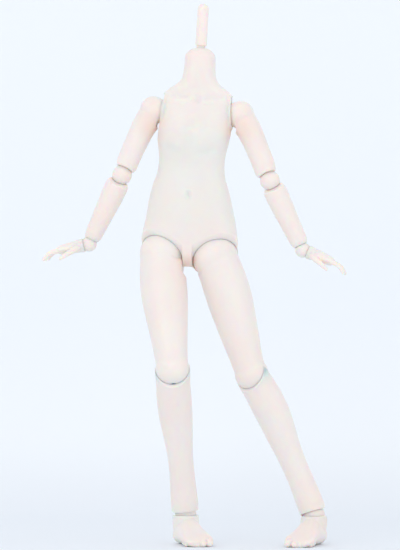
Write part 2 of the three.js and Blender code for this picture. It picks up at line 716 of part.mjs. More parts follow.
const legWays = names.map((_, i) => {
  const down = kneeAt[i].clone().sub(hipAt[i]).normalize();
  const below = ankleAt[i].clone().sub(kneeAt[i]).normalize();
  return { down, below, face: down.clone().sub(below).normalize() };
});
const swings = [[hipBack, 0, -hipForward / 2, -hipForward], [hipBack, 0]];
const shells = legWays.flatMap(({ down, face }, i) => swings[i].map((back) => {
  const swing = new THREE.Quaternion().setFromAxisAngle(torsoWay(v(1, 0, 0)), back * deg);
  const turn = swing.multiply(limbTurn(down, face)).invert().multiply(torsoTurned);
  return hipShell(i === 0 ? turn : turn.set(turn.x, -turn.y, -turn.z, turn.w));
}));

// and its inner side is flattened for the bridge between the legs, which it passes as it swings
const bridgeSide = (hipSpan - crotchWidth) / 2 - fit;
const flat = rod(hipBall, v(bridgeSide, 0, 0), v(bridgeSide + 20, 0, 0), side);
const flatTurn = limbTurn(legWays[0].down, legWays[0].face).invert().multiply(torsoTurned);
shells.push(placed(geometryOf(flat), v(0, 0, 0), flatTurn));
const thighBody = makeThigh(shells);

const cordEnds = [];
for (const i of [0, 1]) {
  const hand = i === 0 ? -1 : 1;
  const name = names[i];
  const made = (body) => (hand < 0 ? body : mirrored(body));

  // Arm
  const front = torsoWay(v(0, -1, 0));
  const [armWay, foreWay, handWay] = armWays[i];
  const shoulderAt = onTorso(shoulders[i]);
  const elbowAt = shoulderAt.clone().addScaledVector(armWay, upperArm);
  const wristAt = elbowAt.clone().addScaledVector(foreWay, forearm);
  const shoulder = frameIn(torso, shoulderAt, torsoTurned);
  const inner = -hand;
  addPiece(shoulder, `${name}_shoulder_cord`, rod(cordRadius,
    v(inner * (cordRadius + fit), 0, 0), v(inner * (shoulderBall - 0.6), 0, 0), 8), elastic);
  const arm = frameIn(shoulder, shoulderAt, limbTurn(armWay, front));
  addPiece(arm, `${name}_upper_arm`, made(makeUpperArm()), resin);
  const twist = frameIn(arm, elbowAt, limbTurn(armWay, front));
  addPiece(twist, `${name}_arm_cord`,
    makeCord(v(0, 0, upperArm), v(0, 0, elbowBall + cordEnd)), elastic);
  const elbow = frameIn(twist, elbowAt, limbTurn(armWay, front));
  addPiece(elbow, `${name}_elbow_ball`, made(makeElbowBall()), resin);
  addPiece(elbow, `${name}_elbow_cord`,
    rod(cordRadius, v(0, 0, elbowBall - cordEnd), v(0, 0, cordEnd - elbowBall), 8), elastic);
  const fore = frameIn(elbow, elbowAt, limbTurn(foreWay, front));
  addPiece(fore, `${name}_forearm`, made(makeForearm()), resin);
  addPiece(fore, `${name}_forearm_cord`,
    rod(cordRadius, v(0, 0, -elbowBall - cordEnd), v(0, 0, -forearm + wireRadius * 1.6 + fit), 8), elastic);
  const wrist = frameIn(fore, wristAt, limbTurn(foreWay, front));
  addPiece(wrist, `${name}_wrist_ball`, made(makeWristBall()), resin);
  const palm = frameIn(wrist, wristAt, limbTurn(handWay, front));
  addPiece(palm, `${name}_hand`, made(makeHand()), resin);
  addPiece(palm, `${name}_hand_bar`,
    rod(barRadius, v(0, -7.3, -handBar), v(0, 7.3, -handBar), 10), steel);
  addPiece(palm, `${name}_wrist_hook`, makeHook(handBar), steel);

  // Leg
  const { down, below, face: kneeFace } = legWays[i];
  const hip = frameIn(torso, hipAt[i], limbTurn(down, kneeFace));
  const stub = hipBall - fit;
  addPiece(hip, `${name}_hip_cord`, rod(cordRadius, v(0, 0, stub), v(0, 0, -hipStub), 8), elastic);
  const upper = frameIn(hip, hipAt[i], limbTurn(down, kneeFace));
  addPiece(upper, `${name}_thigh`, made(thighBody), resin);
  addPiece(upper, `${name}_thigh_cord`, rod(cordRadius, v(0, 0, -hipStub - fit),
    v(0, 0, -thigh + cordRadius + fit), 8), elastic);
  const lower = frameIn(upper, kneeAt[i], limbTurn(below, kneeFace));
  addPiece(lower, `${name}_shin`, made(makeShin()), resin);
  addPiece(lower, `${name}_shin_cord`,
    makeCord(v(0, 0, 0), v(0, 0, -shin + wireRadius * 1.6 + fit)), elastic);
  const ankle = frameIn(lower, ankleAt[i], limbTurn(below, kneeFace));
  addPiece(ankle, `${name}_ankle_ball`, made(makeAnkleBall()), resin);
  const foot = frameIn(ankle, ankleAt[i], turnZ(footTurn[i]));
  addPiece(foot, `${name}_foot`, made(makeFoot()), resin);
  addPiece(foot, `${name}_foot_bar`,
    rod(barRadius, v(-7.8, 0, -footBar), v(7.8, 0, -footBar), 10), steel);
  const hook = makeHook(footBar).rotate([0, 0, 90]);
  addPiece(foot, `${name}_ankle_hook`, hook, steel);

  const end = torso.worldToLocal(hip.localToWorld(v(0, 0, hipBall + cordRadius + 1.2 * fit)));
  cordEnds.push(end);
  Object.assign(joints, {
    [`${name}_shoulder`]: shoulder,
    [`${name}_arm`]: arm,
    [`${name}_twist`]: twist,
    [`${name}_elbow`]: elbow,
    [`${name}_forearm`]: fore,
    [`${name}_wrist`]: wrist,
    [`${name}_palm`]: palm,
    [`${name}_hip`]: hip,
    [`${name}_thigh`]: upper,
    [`${name}_knee`]: lower,
    [`${name}_ankle`]: ankle,
    [`${name}_foot`]: foot,
  });
}

// The torso, and the elastic that lies in it

const cordTop = v(0, neckY + 1.9, shoulderHeight + 9);
const routes = cordEnds.map((end) => {
  const way = cordTop.clone().sub(end).normalize();
  return [end.clone().addScaledVector(way, -3), end.clone().addScaledVector(way, 14)];
});
addPiece(torso, 'torso', makeTorso(routes), resin);
addPiece(torso, 'leg_cord', join(
  ...cordEnds.map((end) => rod(cordRadius, end, cordTop, 8)),
  ...cordEnds.map((end) => ball(cordRadius, end, 8)), ball(cordRadius, cordTop, 8)), elastic);
const cordReach = shoulders[1].x - shoulderBall + 0.6 - fit;
addPiece(torso, 'arm_cord', rod(cordRadius, v(-cordReach, 0, shoulderHeight),
  v(cordReach, 0, shoulderHeight), 8), elastic);
addPiece(torso, 'neck_hook', strand([
  v(0, neckY, neckHeight - postDepth),
  v(0, neckY, neckHeight - 30),
  v(0, neckY + 1, shoulderHeight + 20),
  cordTop.clone().add(v(0, 0, cordRadius + fit)),
], wireRadius, 6, 3), steel);

// Set the body on the floor, over the middle of its box

doll.updateMatrixWorld(true);
const box = new THREE.Box3().setFromObject(doll, true);
const middle = box.getCenter(v(0, 0, 0));
doll.position.set(-middle.x, -middle.y, -box.min.z);
doll.updateMatrixWorld(true);

export { joints };
export default doll;
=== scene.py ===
# A cast-resin ball-jointed doll body without its head, in a standing pose.
# Pieces are shaped in millimetres, each in its own limb's frame, and set in place in metres.

import json
import math

import bmesh
import bpy
from mathutils import Matrix, Vector


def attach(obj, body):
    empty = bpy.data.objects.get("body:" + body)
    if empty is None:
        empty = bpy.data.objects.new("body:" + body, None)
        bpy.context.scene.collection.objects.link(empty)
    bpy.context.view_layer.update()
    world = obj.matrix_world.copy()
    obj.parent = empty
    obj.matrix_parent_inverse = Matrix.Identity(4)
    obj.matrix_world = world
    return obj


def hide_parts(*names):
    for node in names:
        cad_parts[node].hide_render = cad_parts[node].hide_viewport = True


bpy.context.preferences.edit.use_global_undo = False
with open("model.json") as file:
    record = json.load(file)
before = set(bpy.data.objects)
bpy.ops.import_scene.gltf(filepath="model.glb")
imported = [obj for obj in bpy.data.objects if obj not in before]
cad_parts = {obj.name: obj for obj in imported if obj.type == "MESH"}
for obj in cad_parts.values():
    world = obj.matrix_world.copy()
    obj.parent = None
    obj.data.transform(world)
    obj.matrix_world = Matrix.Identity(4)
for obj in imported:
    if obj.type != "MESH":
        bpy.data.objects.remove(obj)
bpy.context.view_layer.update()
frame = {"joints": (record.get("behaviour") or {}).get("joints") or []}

# Sizes in millimetres and angles in degrees, as the castings have them

FIT, WALL = 0.18, 4.0
HIP_BALL, HIP_SPAN, HIP_LIP, HIP_RIM_SIDE, HIP_RIM_FRONT = 22.8, 52.8, 1.2, 31.7, 44.0
CROTCH, RIM_GAP, HIP_MOUTH, HIP_RECESS, HIP_STUB = 9.2, 0.45, 30.0, 7.5, 12.0
SHOULDER_BALL, SHOULDER_SPAN, SHOULDER_HEIGHT = 14.0, 87.0, 143.0
SHOULDER_LIP, SHOULDER_FACE, SHOULDER_TILT, ARM_LOWEST = 2.0, 8.6, 5.0, 11.0
NECK_TOP, NECK_Y = 207.5, 2.0
POST, POST_STEM, POST_FOOT, POST_TOP, POST_DEPTH, POST_HOLE = 5.75, 4.5, 2.0, 44.5, 9.0, 3.2
UPPER_ARM, FOREARM, ELBOW_BALL, ELBOW_BAND = 72.0, 76.5, 10.0, 6.6
ELBOW_BEND, ELBOW_SCOOP, ELBOW_NOTCH = 42.0, 25.0, 15.0
WRIST_BALL, WRIST_BAND, WRIST_BEND = 7.7, 5.2, 70.0
FINGER, FINGER_LONG, THUMB_LONG, PALM_LONG, HAND_BAR = 2.1, 17.0, 15.0, 31.0, 13.0
THIGH, SHIN, KNEE_BALL, KNEE_RIM, KNEE_BEND = 122.0, 154.0, 16.8, 3.0, 88.0
KNEE_FRONT, KNEE_BACK = 49.0, 60.0
ANKLE_BALL, ANKLE_HEM, ANKLE_HEM_RAKE, ANKLE_COLLAR = 10.8, 2.6, 15.0, 4.8
COLLAR_CREST, COLLAR_FRONT, COLLAR_BACK = -1.6, 3.0, 24.0
ANKLE_HIGH, ANKLE_MOUTH, ANKLE_POINT = 30.5, 38.0, 50.0
FOOT_LONG, HEEL_LONG, FOOT_WIDE, FOOT_BAR = 72.0, 15.0, 31.0, 17.0
CORD, CORD_BORE, CORD_END, WIRE, BAR = 1.5, 2.5, 0.2, 0.9, 1.2

HAND_OUT = {"right": 78, "left": 68}
TORSO_LEAN = 3.3

rad = math.radians
UP = Vector((0, 0, 1))
made = {}


# Frames: where each piece stands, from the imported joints

joints = {j["name"]: j for j in frame["joints"]}


def joint_at(name):
    return Vector(joints[name]["pos_m"])


def joint_way(name):
    return Vector(joints[name]["axis"])


def axes(x, y, z, at):
    turn = Matrix((x, y, z)).transposed().to_4x4()
    turn.translation = at
    return turn


def limb(at, towards, front):
    z = (at - towards).normalized()
    y = -(front - z * front.dot(z)).normalized()
    return axes(y.cross(z), y, z, at)


torso_z = joint_way("head_post_turn")
torso_x = -joint_way("right_shoulder_swing")
hip_at = {s: joint_at(f"{s}_hip_swing") for s in ("right", "left")}
torso_frame = axes(torso_x, torso_z.cross(torso_x), torso_z, (hip_at["right"] + hip_at["left"]) / 2)
torso_front = -torso_frame.col[1].to_3d()
places = {"torso": torso_frame}
places["head_post"] = torso_frame @ Matrix.Translation((0, NECK_Y / 1000, NECK_TOP / 1000))
for s in ("right", "left"):
    shoulder, elbow = joint_at(f"{s}_shoulder_swing"), joint_at(f"{s}_elbow_turn")
    wrist = joint_at(f"{s}_wrist_turn")
    knee, ankle = joint_at(f"{s}_knee_bend"), joint_at(f"{s}_ankle_turn")
    places[f"{s}_upper_arm"] = limb(shoulder, elbow, torso_front)
    places[f"{s}_elbow_ball"] = limb(elbow, elbow * 2 - shoulder, torso_front)
    places[f"{s}_forearm"] = limb(elbow, wrist, torso_front)
    places[f"{s}_wrist_ball"] = limb(wrist, wrist * 2 - elbow, torso_front)
    down, below = (knee - hip_at[s]).normalized(), (ankle - knee).normalized()
    places[f"{s}_thigh"] = limb(hip_at[s], knee, down - below)
    places[f"{s}_shin"] = limb(knee, ankle, down - below)
    places[f"{s}_ankle_ball"] = limb(ankle, ankle * 2 - knee, down - below)
    hand = -1 if s == "right" else 1
    out = rad(HAND_OUT[s] + hand * TORSO_LEAN)
    hand_way = torso_frame.to_3x3() @ Vector((hand * math.sin(out), 0, -math.cos(out)))
    places[f"{s}_hand"] = limb(wrist, wrist + hand_way, torso_front)
    side = -joint_way(f"{s}_ankle_bend")
    places[f"{s}_foot"] = axes(side, UP.cross(side), UP, ankle)


# Shaping by hand: selections, growing ring by ring, cutting and joining

def put_down():
    """Leaves edit mode with nothing selected."""
    if bpy.context.object and bpy.context.object.mode != "OBJECT":
        bpy.ops.object.mode_set(mode="OBJECT")
    bpy.ops.object.select_all(action="DESELECT")


def take_up(piece):
    put_down()
    piece.select_set(True)
    bpy.context.view_layer.objects.active = piece


def pick(bm, wanted):
    for part in (*bm.faces, *bm.edges, *bm.verts):
        part.select_set(False)
    for vert in wanted:
        vert.select_set(True)
    bm.select_flush(True)


def smooth_curve(keys):
    """A curve through key sections, with the slope at each key taken from its neighbours."""
    heights = [key[0] for key in keys]
    rows = []
    for key in keys:
        wide, front = key[1], key[2]
        back = key[3] if len(key) > 3 else front
        rows.append((wide, front, back, key[4] if len(key) > 4 else 0, key[5] if len(key) > 5 else 0))
    n = len(rows)
    slopes = []
    for i in range(n):
        a, b = max(i - 1, 0), min(i + 1, n - 1)
        run = heights[b] - heights[a]
        slopes.append([(q - p) / run for p, q in zip(rows[a], rows[b])])

    def at(z):
        i = 0
        while i < n - 2 and z > heights[i + 1]:
            i += 1
        h = heights[i + 1] - heights[i]
        t = min(max((z - heights[i]) / h, 0), 1)
        a, b = 2 * t**3 - 3 * t**2 + 1, t**3 - 2 * t**2 + t
        c, d = 3 * t**2 - 2 * t**3, t**3 - t**2
        return [a * p + b * h * m + c * q + d * h * k
                for p, q, m, k in zip(rows[i], rows[i + 1], slopes[i], slopes[i + 1])]
    return at


def grow(name, keys, rings, around=48, square=0.0):
    """A closed form drawn up from its lowest section, ring by ring.
    A key is height, half width, front, back, middle x, middle y."""
    at = smooth_curve(keys)
    low, high = keys[0][0], keys[-1][0]
    put_down()
    bpy.ops.mesh.primitive_circle_add(vertices=around, radius=1, fill_type="NGON", location=(0, 0, low))
    piece = bpy.context.object
    piece.name = name
    bpy.ops.object.transform_apply(location=True)
    bpy.ops.object.mode_set(mode="EDIT")
    bpy.ops.mesh.select_mode(type="VERT")
    if square:
        bm = bmesh.from_edit_mesh(piece.data)
        bm.verts.ensure_lookup_table()
        for k in range(1, around // 4):
            turn = math.pi * 2 * k / around
            pick(bm, [w for w in bm.verts
                      if abs(math.atan2(abs(w.co.y), abs(w.co.x)) - turn) < 0.02])
            c, d = math.cos(turn), math.sin(turn)
            out = (c ** (2 + square) + d ** (2 + square)) ** (-1 / (2 + square))
            bpy.ops.transform.resize(value=(out, out, 1), center_override=(0, 0, low))
        bpy.ops.mesh.select_all(action="SELECT")
    last = [1, 1, 1, 0, 0]
    height = low
    for r in range(rings + 1):
        share = r / rings
        z = low + (high - low) * (0.65 * share + 0.35 * (0.5 - 0.5 * math.cos(math.pi * share)))
        now = at(z)
        now[:3] = [max(size, 0.2) for size in now[:3]]
        step = (now[3] - last[3], now[4] - last[4], z - height)
        if r:
            bpy.ops.mesh.extrude_region_move(TRANSFORM_OT_translate={"value": step})
        else:
            bpy.ops.transform.translate(value=step)
        middle = (now[3], now[4], z)
        if abs(now[0] / last[0] - 1) > 1e-5:
            bpy.ops.transform.resize(value=(now[0] / last[0], 1, 1), center_override=middle)
        bm = bmesh.from_edit_mesh(piece.data)
        ring = [w for w in bm.verts if w.select]
        for half, sign in ((1, -1), (2, 1)):
            deeper = now[half] / last[half]
            if abs(deeper - 1) > 1e-5:
                pick(bm, [w for w in ring if (w.co.y - now[4]) * sign > 1e-4])
                bpy.ops.transform.resize(value=(1, deeper, 1), center_override=middle)
        pick(bm, ring)
        last, height = now, z
    bpy.ops.mesh.select_all(action="SELECT")
    bpy.ops.mesh.normals_make_consistent(inside=False)
    put_down()
    return piece


def ball(radius, at=(0, 0, 0), around=72):
    put_down()
    bpy.ops.mesh.primitive_uv_sphere_add(segments=around, ring_count=around // 2,
                                         radius=radius, location=at)
    piece = bpy.context.object
    bpy.ops.object.transform_apply(location=True)
    return piece


def rod(radius, start, end, around=32, radius_to=None):
    start, end = Vector(start), Vector(end)
    way = end - start
    put_down()
    bpy.ops.mesh.primitive_cone_add(
        vertices=around, radius1=radius, radius2=radius if radius_to is None else radius_to,
        depth=way.length, location=(start + end) / 2, rotation=way.to_track_quat("Z", "Y").to_euler())
    piece = bpy.context.object
    bpy.ops.object.transform_apply(location=True, rotation=True)
    return piece


def beyond(point, normal, reach=160):
    """A block that fills everything on the far side of a plane."""
    normal = Vector(normal).normalized()
    put_down()
    bpy.ops.mesh.primitive_cube_add(
        size=1, location=Vector(point) + normal * reach / 2, scale=(2 * reach, 2 * reach, reach),
        rotation=normal.to_track_quat("Z", "Y").to_euler())
    piece = bpy.context.object
    bpy.ops.object.transform_apply(location=True, rotation=True, scale=True)
    return piece


def work(piece, tools, how):
    """Works each tool into the piece; the slower solver steps in where the quick one does nothing."""
    for tool in tools:
        take_up(piece)
        before = len(piece.data.vertices)
        for solver in ("MANIFOLD", "EXACT"):
            if len(piece.data.vertices) == before:
                bpy.ops.object.modifier_add(type="BOOLEAN")
                knife = piece.modifiers[-1]
                knife.operation, knife.solver, knife.object = how, solver, tool
                bpy.ops.object.modifier_apply(modifier=knife.name)
        bpy.data.objects.remove(tool)
    return piece


def cut(piece, *tools):
    return work(piece, tools, "DIFFERENCE")


def join(piece, *others):
    return work(piece, others, "UNION")


def common(piece, *others):
    return work(piece, others, "INTERSECT")


def turned(piece, turn):
    piece.data.transform(turn)
    return piece


def swing_slot(radius, start, end, width, turn=0.0):
    """Cutters for the slot that a cord sweeps out of a ball: about X, then turned about Z."""
    put_down()
    middle = (radius + 0.3) / 2
    bpy.ops.mesh.primitive_plane_add(
        size=1, location=(0, -math.sin(rad(start)) * middle, math.cos(rad(start)) * middle),
        rotation=(rad(90 + start), 0, 0), scale=(width, 1, 1))
    fan = bpy.context.object
    fan.scale = (width, radius - 0.3, 1)
    bpy.ops.object.transform_apply(location=True, rotation=True, scale=True)
    bpy.ops.object.mode_set(mode="EDIT")
    bpy.ops.mesh.select_all(action="SELECT")
    bpy.ops.mesh.spin(steps=24, angle=-rad(end - start), center=(0, 0, 0), axis=(1, 0, 0))
    bpy.ops.mesh.select_all(action="SELECT")
    bpy.ops.mesh.normals_make_consistent(inside=False)
    put_down()
    tools = [fan]
    for angle in (start, end):
        tip = Vector((0, -math.sin(rad(angle)), math.cos(rad(angle)))) * radius
        tools.append(rod(width / 2, tip * -0.04, tip, 24))
    return [turned(tool, Matrix.Rotation(rad(turn), 4, "Z")) for tool in tools]


def blended(piece, voxel, times, factor=0.5):
    """Joined forms run into each other as one casting."""
    take_up(piece)
    bpy.ops.object.modifier_add(type="REMESH")
    piece.modifiers[-1].mode = "VOXEL"
    piece.modifiers[-1].voxel_size = voxel
    bpy.ops.object.modifier_apply(modifier=piece.modifiers[-1].name)
    bpy.ops.object.modifier_add(type="SMOOTH")
    piece.modifiers[-1].factor = factor
    piece.modifiers[-1].iterations = times
    bpy.ops.object.modifier_apply(modifier=piece.modifiers[-1].name)
    return piece


def finish_edges(piece, angle=40):
    """Closes doubled points and leaves the rims crisp between smooth sides."""
    take_up(piece)
    bpy.ops.object.mode_set(mode="EDIT")
    bpy.ops.mesh.select_all(action="SELECT")
    bpy.ops.mesh.remove_doubles(threshold=0.01)
    bpy.ops.mesh.select_all(action="DESELECT")
    put_down()
    take_up(piece)
    bpy.ops.object.shade_smooth_by_angle(angle=rad(angle))
    return piece


def set_place(piece, node, place=None, body=None, mirror=False):
    """Scales a piece to metres, sets it in its limb's frame, and lets it ride there for its solid."""
    turn = places[place or node] @ Matrix.Scale(0.001, 4)
    if mirror:
        turn = turn @ Matrix.Scale(-1, 4, (1, 0, 0))
    piece.data.transform(turn)
    if mirror:
        take_up(piece)
        bpy.ops.object.mode_set(mode="EDIT")
        bpy.ops.mesh.select_all(action="SELECT")
        bpy.ops.mesh.flip_normals()
        put_down()
    piece.name = piece.data.name = f"{node}_piece"
    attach(piece, body or node)
    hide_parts(node)
    made[node] = piece
    return piece


def twin(piece):
    other = piece.copy()
    other.data = piece.data.copy()
    bpy.context.collection.objects.link(other)
    return other


def pair(piece, kind, place=None, body=None):
    """The right-hand piece and its mirror image for the left."""
    other = twin(piece)
    for name, which in (("right", piece), ("left", other)):
        set_place(which, f"{name}_{kind}", place and f"{name}_{place}", body and f"{name}_{body}",
                  mirror=name == "left")


# Torso: neck, chest, waist and hips in one casting

TORSO = [
    (-11, 6, 8, 10, 0, 1), (-7, 14, 13, 17, 0, 1), (0, 40, 18, 24), (12, 48.2, 21, 28),
    (22, 47.4, 22.5, 28.5), (33, 45.5, 24, 26), (45, 43.2, 24, 22, -0.8), (57, 40.9, 22.5, 18, -1.6),
    (69, 37.8, 20.5, 15.5, -2.2), (80, 34.3, 19.2, 14.5, -2.4), (90, 33.1, 19.2, 15.5, -2.4),
    (100, 33.4, 21, 17.5, -2.4), (112, 35.4, 24, 20, -2.2), (124, 37.0, 24.5, 22.5, -1.8),
    (134, 36.4, 21.5, 23, -1.2, 1), (145, 36.6, 17.5, 21.5, -0.6, 2), (154, 36, 14, 18.5, -0.2, 3),
    (160, 35.6, 12.5, 16, 0, 3.5), (165, 30.6, 12.5, 14.5, 0, 3.6), (170, 23.6, 13.2, 13.8, 0, 3.4),
    (176, 17.9, 14, 14, 0, 3),
    (184, 16, 14.2, 14.2, 0, 2.6), (194, 15.4, 14, 14, 0, 2.2), (200, 15.1, 13.8, 13.8, 0, NECK_Y),
    (204, 12.2, 11.4, 11.4, 0, NECK_Y), (NECK_TOP - 1, 8.4, 8.2, 8.2, 0, NECK_Y),
    (NECK_TOP, 6.6, 6.6, 6.6, 0, NECK_Y)]


def rim_normal(hand):
    """The rim of a hip opening lies in a plane through the centre of its ball."""
    along = Vector((-hand * math.cos(rad(HIP_RIM_SIDE)), 0, -math.sin(rad(HIP_RIM_SIDE))))
    across = Vector((-hand * math.sin(rad(HIP_RIM_SIDE)), 0, math.cos(rad(HIP_RIM_SIDE))))
    front = across * math.sin(rad(HIP_RIM_FRONT)) + Vector((0, -math.cos(rad(HIP_RIM_FRONT)), 0))
    normal = along.cross(front).normalized()
    return -normal if normal.z < 0 else normal


def shoulder_out(hand):
    return Vector((hand * math.cos(rad(SHOULDER_TILT)), 0, math.sin(rad(SHOULDER_TILT))))


def press(piece, start, end, push, size, near=1.5):
    """A soft dent or swelling of the skin along a line on its surface."""
    start, end, push = Vector(start), Vector(end), Vector(push)
    take_up(piece)
    bpy.ops.object.mode_set(mode="EDIT")
    bpy.ops.mesh.select_mode(type="VERT")
    bm = bmesh.from_edit_mesh(piece.data)
    run = end - start
    steps = max(int(run.length / near), 1)
    spots = [start + run * k / steps for k in range(steps + 1)]
    middle = (start + end) / 2
    skin = [w for w in bm.verts if (w.co - middle).length < run.length / 2 + 12]
    pick(bm, {min(skin, key=lambda w: (w.co - spot).length_squared) for spot in spots})
    bpy.ops.transform.translate(value=push, use_proportional_edit=True,
                                proportional_edit_falloff="SMOOTH", proportional_size=size)
    put_down()
    return piece


def body_relief(body):
    """Low relief of the chest, the spine, the shoulder blades and the seat."""
    press(body, (-1.5, -26, 108), (-1.2, -23, 136), (0, 1.1, 0), 9, 3)
    for hand in (-1, 1):
        press(body, (hand * 10 - 2, -24, 101), (hand * 24 - 2, -21, 104), (0, 0.8, 0), 7, 3)
        press(body, (hand * 17 - 1, 24, 120), (hand * 20 - 1, 24, 136), (0, 1.2, 0), 13, 4)
    press(body, (-2.2, 17, 62), (-0.5, 24, 142), (0, -1.6, 0), 9, 3)
    press(body, (0, 27, -4), (0, 28.5, 26), (0, -3.4, 0), 8, 3)


def skin_marks(body):
    """Navel, pit of the neck and collarbones."""
    press(body, (-1.6, -23, 59), (-1.6, -23, 61.5), (0, 1.5, 0), 4.2, 1)
    press(body, (0.4, -14, 157), (0.4, -14, 158), (0, 1.6, 0), 6, 1)
    for hand in (-1, 1):
        press(body, (hand * 7, -14.5, 155.5), (hand * 30, -14, 157.5), (0, -0.8, 0.1), 3.6, 1.5)
        press(body, (hand * 10, -13, 160), (hand * 26, -12, 161.5), (0, 0.7, -0.2), 4, 1.5)


def cord_ends():
    """Where the looped elastic comes down to the balls of the thighs, in the torso's frame."""
    seats = [places[f"{s}_thigh"] @ Vector((0, 0, (HIP_BALL + CORD + 1.2 * FIT) / 1000))
             for s in ("right", "left")]
    return [(torso_frame.inverted() @ seat) * 1000 for seat in seats]


CORD_TOP = Vector((0, NECK_Y + 1.9, SHOULDER_HEIGHT + 9))


def torso_casting():
    body = grow("torso", TORSO, 70, 64, 0.3)
    body_relief(body)
    for hand in (-1, 1):
        hip = Vector((hand * HIP_SPAN / 2, 0, 0))
        shoulder = Vector((hand * SHOULDER_SPAN / 2, 0, SHOULDER_HEIGHT))
        join(body, ball(HIP_BALL + HIP_LIP, hip), ball(SHOULDER_BALL + SHOULDER_LIP, shoulder))
    blended(body, 1.3, 5)
    skin_marks(body)
    for hand in (-1, 1):
        hip = Vector((hand * HIP_SPAN / 2, 0, 0))
        shoulder = Vector((hand * SHOULDER_SPAN / 2, 0, SHOULDER_HEIGHT))
        below = beyond(hip, -rim_normal(hand))
        common(below, beyond((hand * CROTCH / 2, 0, 0), (hand, 0, 0)))
        out = shoulder_out(hand)
        face = beyond(shoulder - out * SHOULDER_FACE, out)
        common(face, beyond((hand * 20, 0, 0), (hand, 0, 0)),
               beyond((0, 0, SHOULDER_HEIGHT - 2 * SHOULDER_BALL), (0, 0, 1)))
        cut(body, below, face, ball(HIP_BALL + FIT, hip), ball(SHOULDER_BALL + FIT, shoulder))
    hollow = [(z, w - WALL, f - WALL, b - WALL, *rest) for z, w, f, b, *rest in TORSO if 29 < z < 130]
    hollow += [(140, 24, 12, 15, 0, 1), (150, 19, 8, 11, 0, 2), (158, 8, 4, 6, 0, NECK_Y)]
    across = Vector((SHOULDER_SPAN / 2, 0, 0))
    shoulders = UP * SHOULDER_HEIGHT
    cut(body, grow("hollow", hollow, 24, 48, 0.3),
        rod(CORD_BORE + 0.4, shoulders - across, shoulders + across))
    for end in cord_ends():
        way = (CORD_TOP - end).normalized()
        cut(body, rod(6, end - way * 3, end + way * 14, 40))
    crown = Vector((0, NECK_Y, NECK_TOP))
    cut(body, rod(POST_STEM + FIT, crown - UP * POST_DEPTH, crown + UP * 4, 48),
        rod(POST_HOLE, (0, NECK_Y, 150), crown))
    return finish_edges(body)


torso = torso_casting()
set_place(torso, "torso")


# Head post

def post_turning():
    put_down()
    r = POST
    profile = [(0, FIT - POST_DEPTH), (POST_STEM, FIT - POST_DEPTH), (POST_STEM, FIT + 0.6)]
    profile += [(r - 1.6 + 1.6 * math.sin(a), POST_FOOT + 1.6 - 1.6 * math.cos(a))
                for a in [math.pi / 20 * i for i in range(11)]]
    profile += [(r * math.cos(a), POST_TOP - r + r * math.sin(a))
                for a in [math.pi / 32 * i for i in range(17)]]
    bpy.ops.mesh.primitive_circle_add(vertices=64, radius=POST_STEM, fill_type="NGON",
                                      location=(0, 0, FIT - POST_DEPTH))
    post = bpy.context.object
    bpy.ops.object.transform_apply(location=True)
    bpy.ops.object.mode_set(mode="EDIT")
    wide, height = profile[1]
    for radius, z in profile[2:]:
        bpy.ops.mesh.extrude_region_move(TRANSFORM_OT_translate={"value": (0, 0, z - height)})
        shrink = max(radius, 0.05) / wide
        bpy.ops.transform.resize(value=(shrink, shrink, 1), center_override=(0, 0, z))
        wide, height = max(radius, 0.05), z
    bpy.ops.mesh.select_all(action="SELECT")
    bpy.ops.mesh.normals_make_consistent(inside=False)
    put_down()
    return finish_edges(post, 50)


set_place(post_turning(), "head_post")


# Arms, from the centre of each joint down -Z, with the palm towards +X

def upper_arm_casting():
    end = -UPPER_ARM
    arm = grow("arm", [
        (end + ELBOW_BAND, 8.9, 8.9), (end + ELBOW_BAND + 3, 10.6, 10.4),
        (end + 16, 11.2, 11, 11, -0.7),
        (end + 32, 11.5, 11.4, 11.4, -1.5), (end + 50, 12.3, 12, 12, -1.8), (-14, 13, 12.6, 12.6, -1),
        (-7, 13.1, 13, 13, -0.4), (0, 12.2, 12.2), (4, 9, 9)], 30)
    shell = ball(SHOULDER_BALL + SHOULDER_LIP + 2.3)
    out = shoulder_out(-1)
    common(shell, beyond(out * (0.6 - SHOULDER_FACE), -out))
    turned(shell, Matrix.Rotation(-rad(ARM_LOWEST), 4, "Y"))
    cut(arm, shell)
    join(arm, ball(SHOULDER_BALL))
    blended(arm, 0.7, 8)
    notch = (0, -math.sin(rad(ELBOW_NOTCH)), -math.cos(rad(ELBOW_NOTCH)))
    mouth = [turned(tool, Matrix.Translation((0, 0, end)))
             for tool in swing_slot(ELBOW_BALL + 3, -4 - ELBOW_BEND, 0, 2 * CORD_BORE)]
    cut(arm, ball(ELBOW_BALL + FIT, (0, 0, end)), rod(CORD_BORE, (0, 0, 0.7), (0, 0, end)), *mouth,
        beyond((0, 0, end + ELBOW_BAND), notch),
        *swing_slot(SHOULDER_BALL + 2, -4, 90, 2 * CORD_BORE, 90))
    return finish_edges(arm)


def elbow_ball_casting():
    rim = UP * (ELBOW_BALL + 2)
    return finish_edges(cut(ball(ELBOW_BALL), rod(CORD_BORE, -rim, rim)))


def forearm_casting():
    end = -FOREARM
    arm = grow("forearm", [
        (end + WRIST_BAND, 6.9, 6.9), (end + WRIST_BAND + 2.5, 8.4, 8.2), (end + 16, 9.2, 8.9),
        (end + 34, 10.3, 10), (end + 52, 11.4, 11), (-14, 11.6, 11.3), (-ELBOW_BAND - 2.5, 11, 11),
        (-ELBOW_BAND, 9, 9)], 32)
    scoop = (0, -math.sin(rad(ELBOW_SCOOP)), math.cos(rad(ELBOW_SCOOP)))
    return finish_edges(cut(arm, ball(ELBOW_BALL + FIT), ball(WRIST_BALL + FIT, (0, 0, end)),
                            rod(CORD_BORE, (0, 0, 0), (0, 0, end)), beyond((0, 0, -ELBOW_BAND), scoop),
                            *swing_slot(ELBOW_BALL + 3, 180, 184 + ELBOW_BEND, 2 * CORD_BORE)))


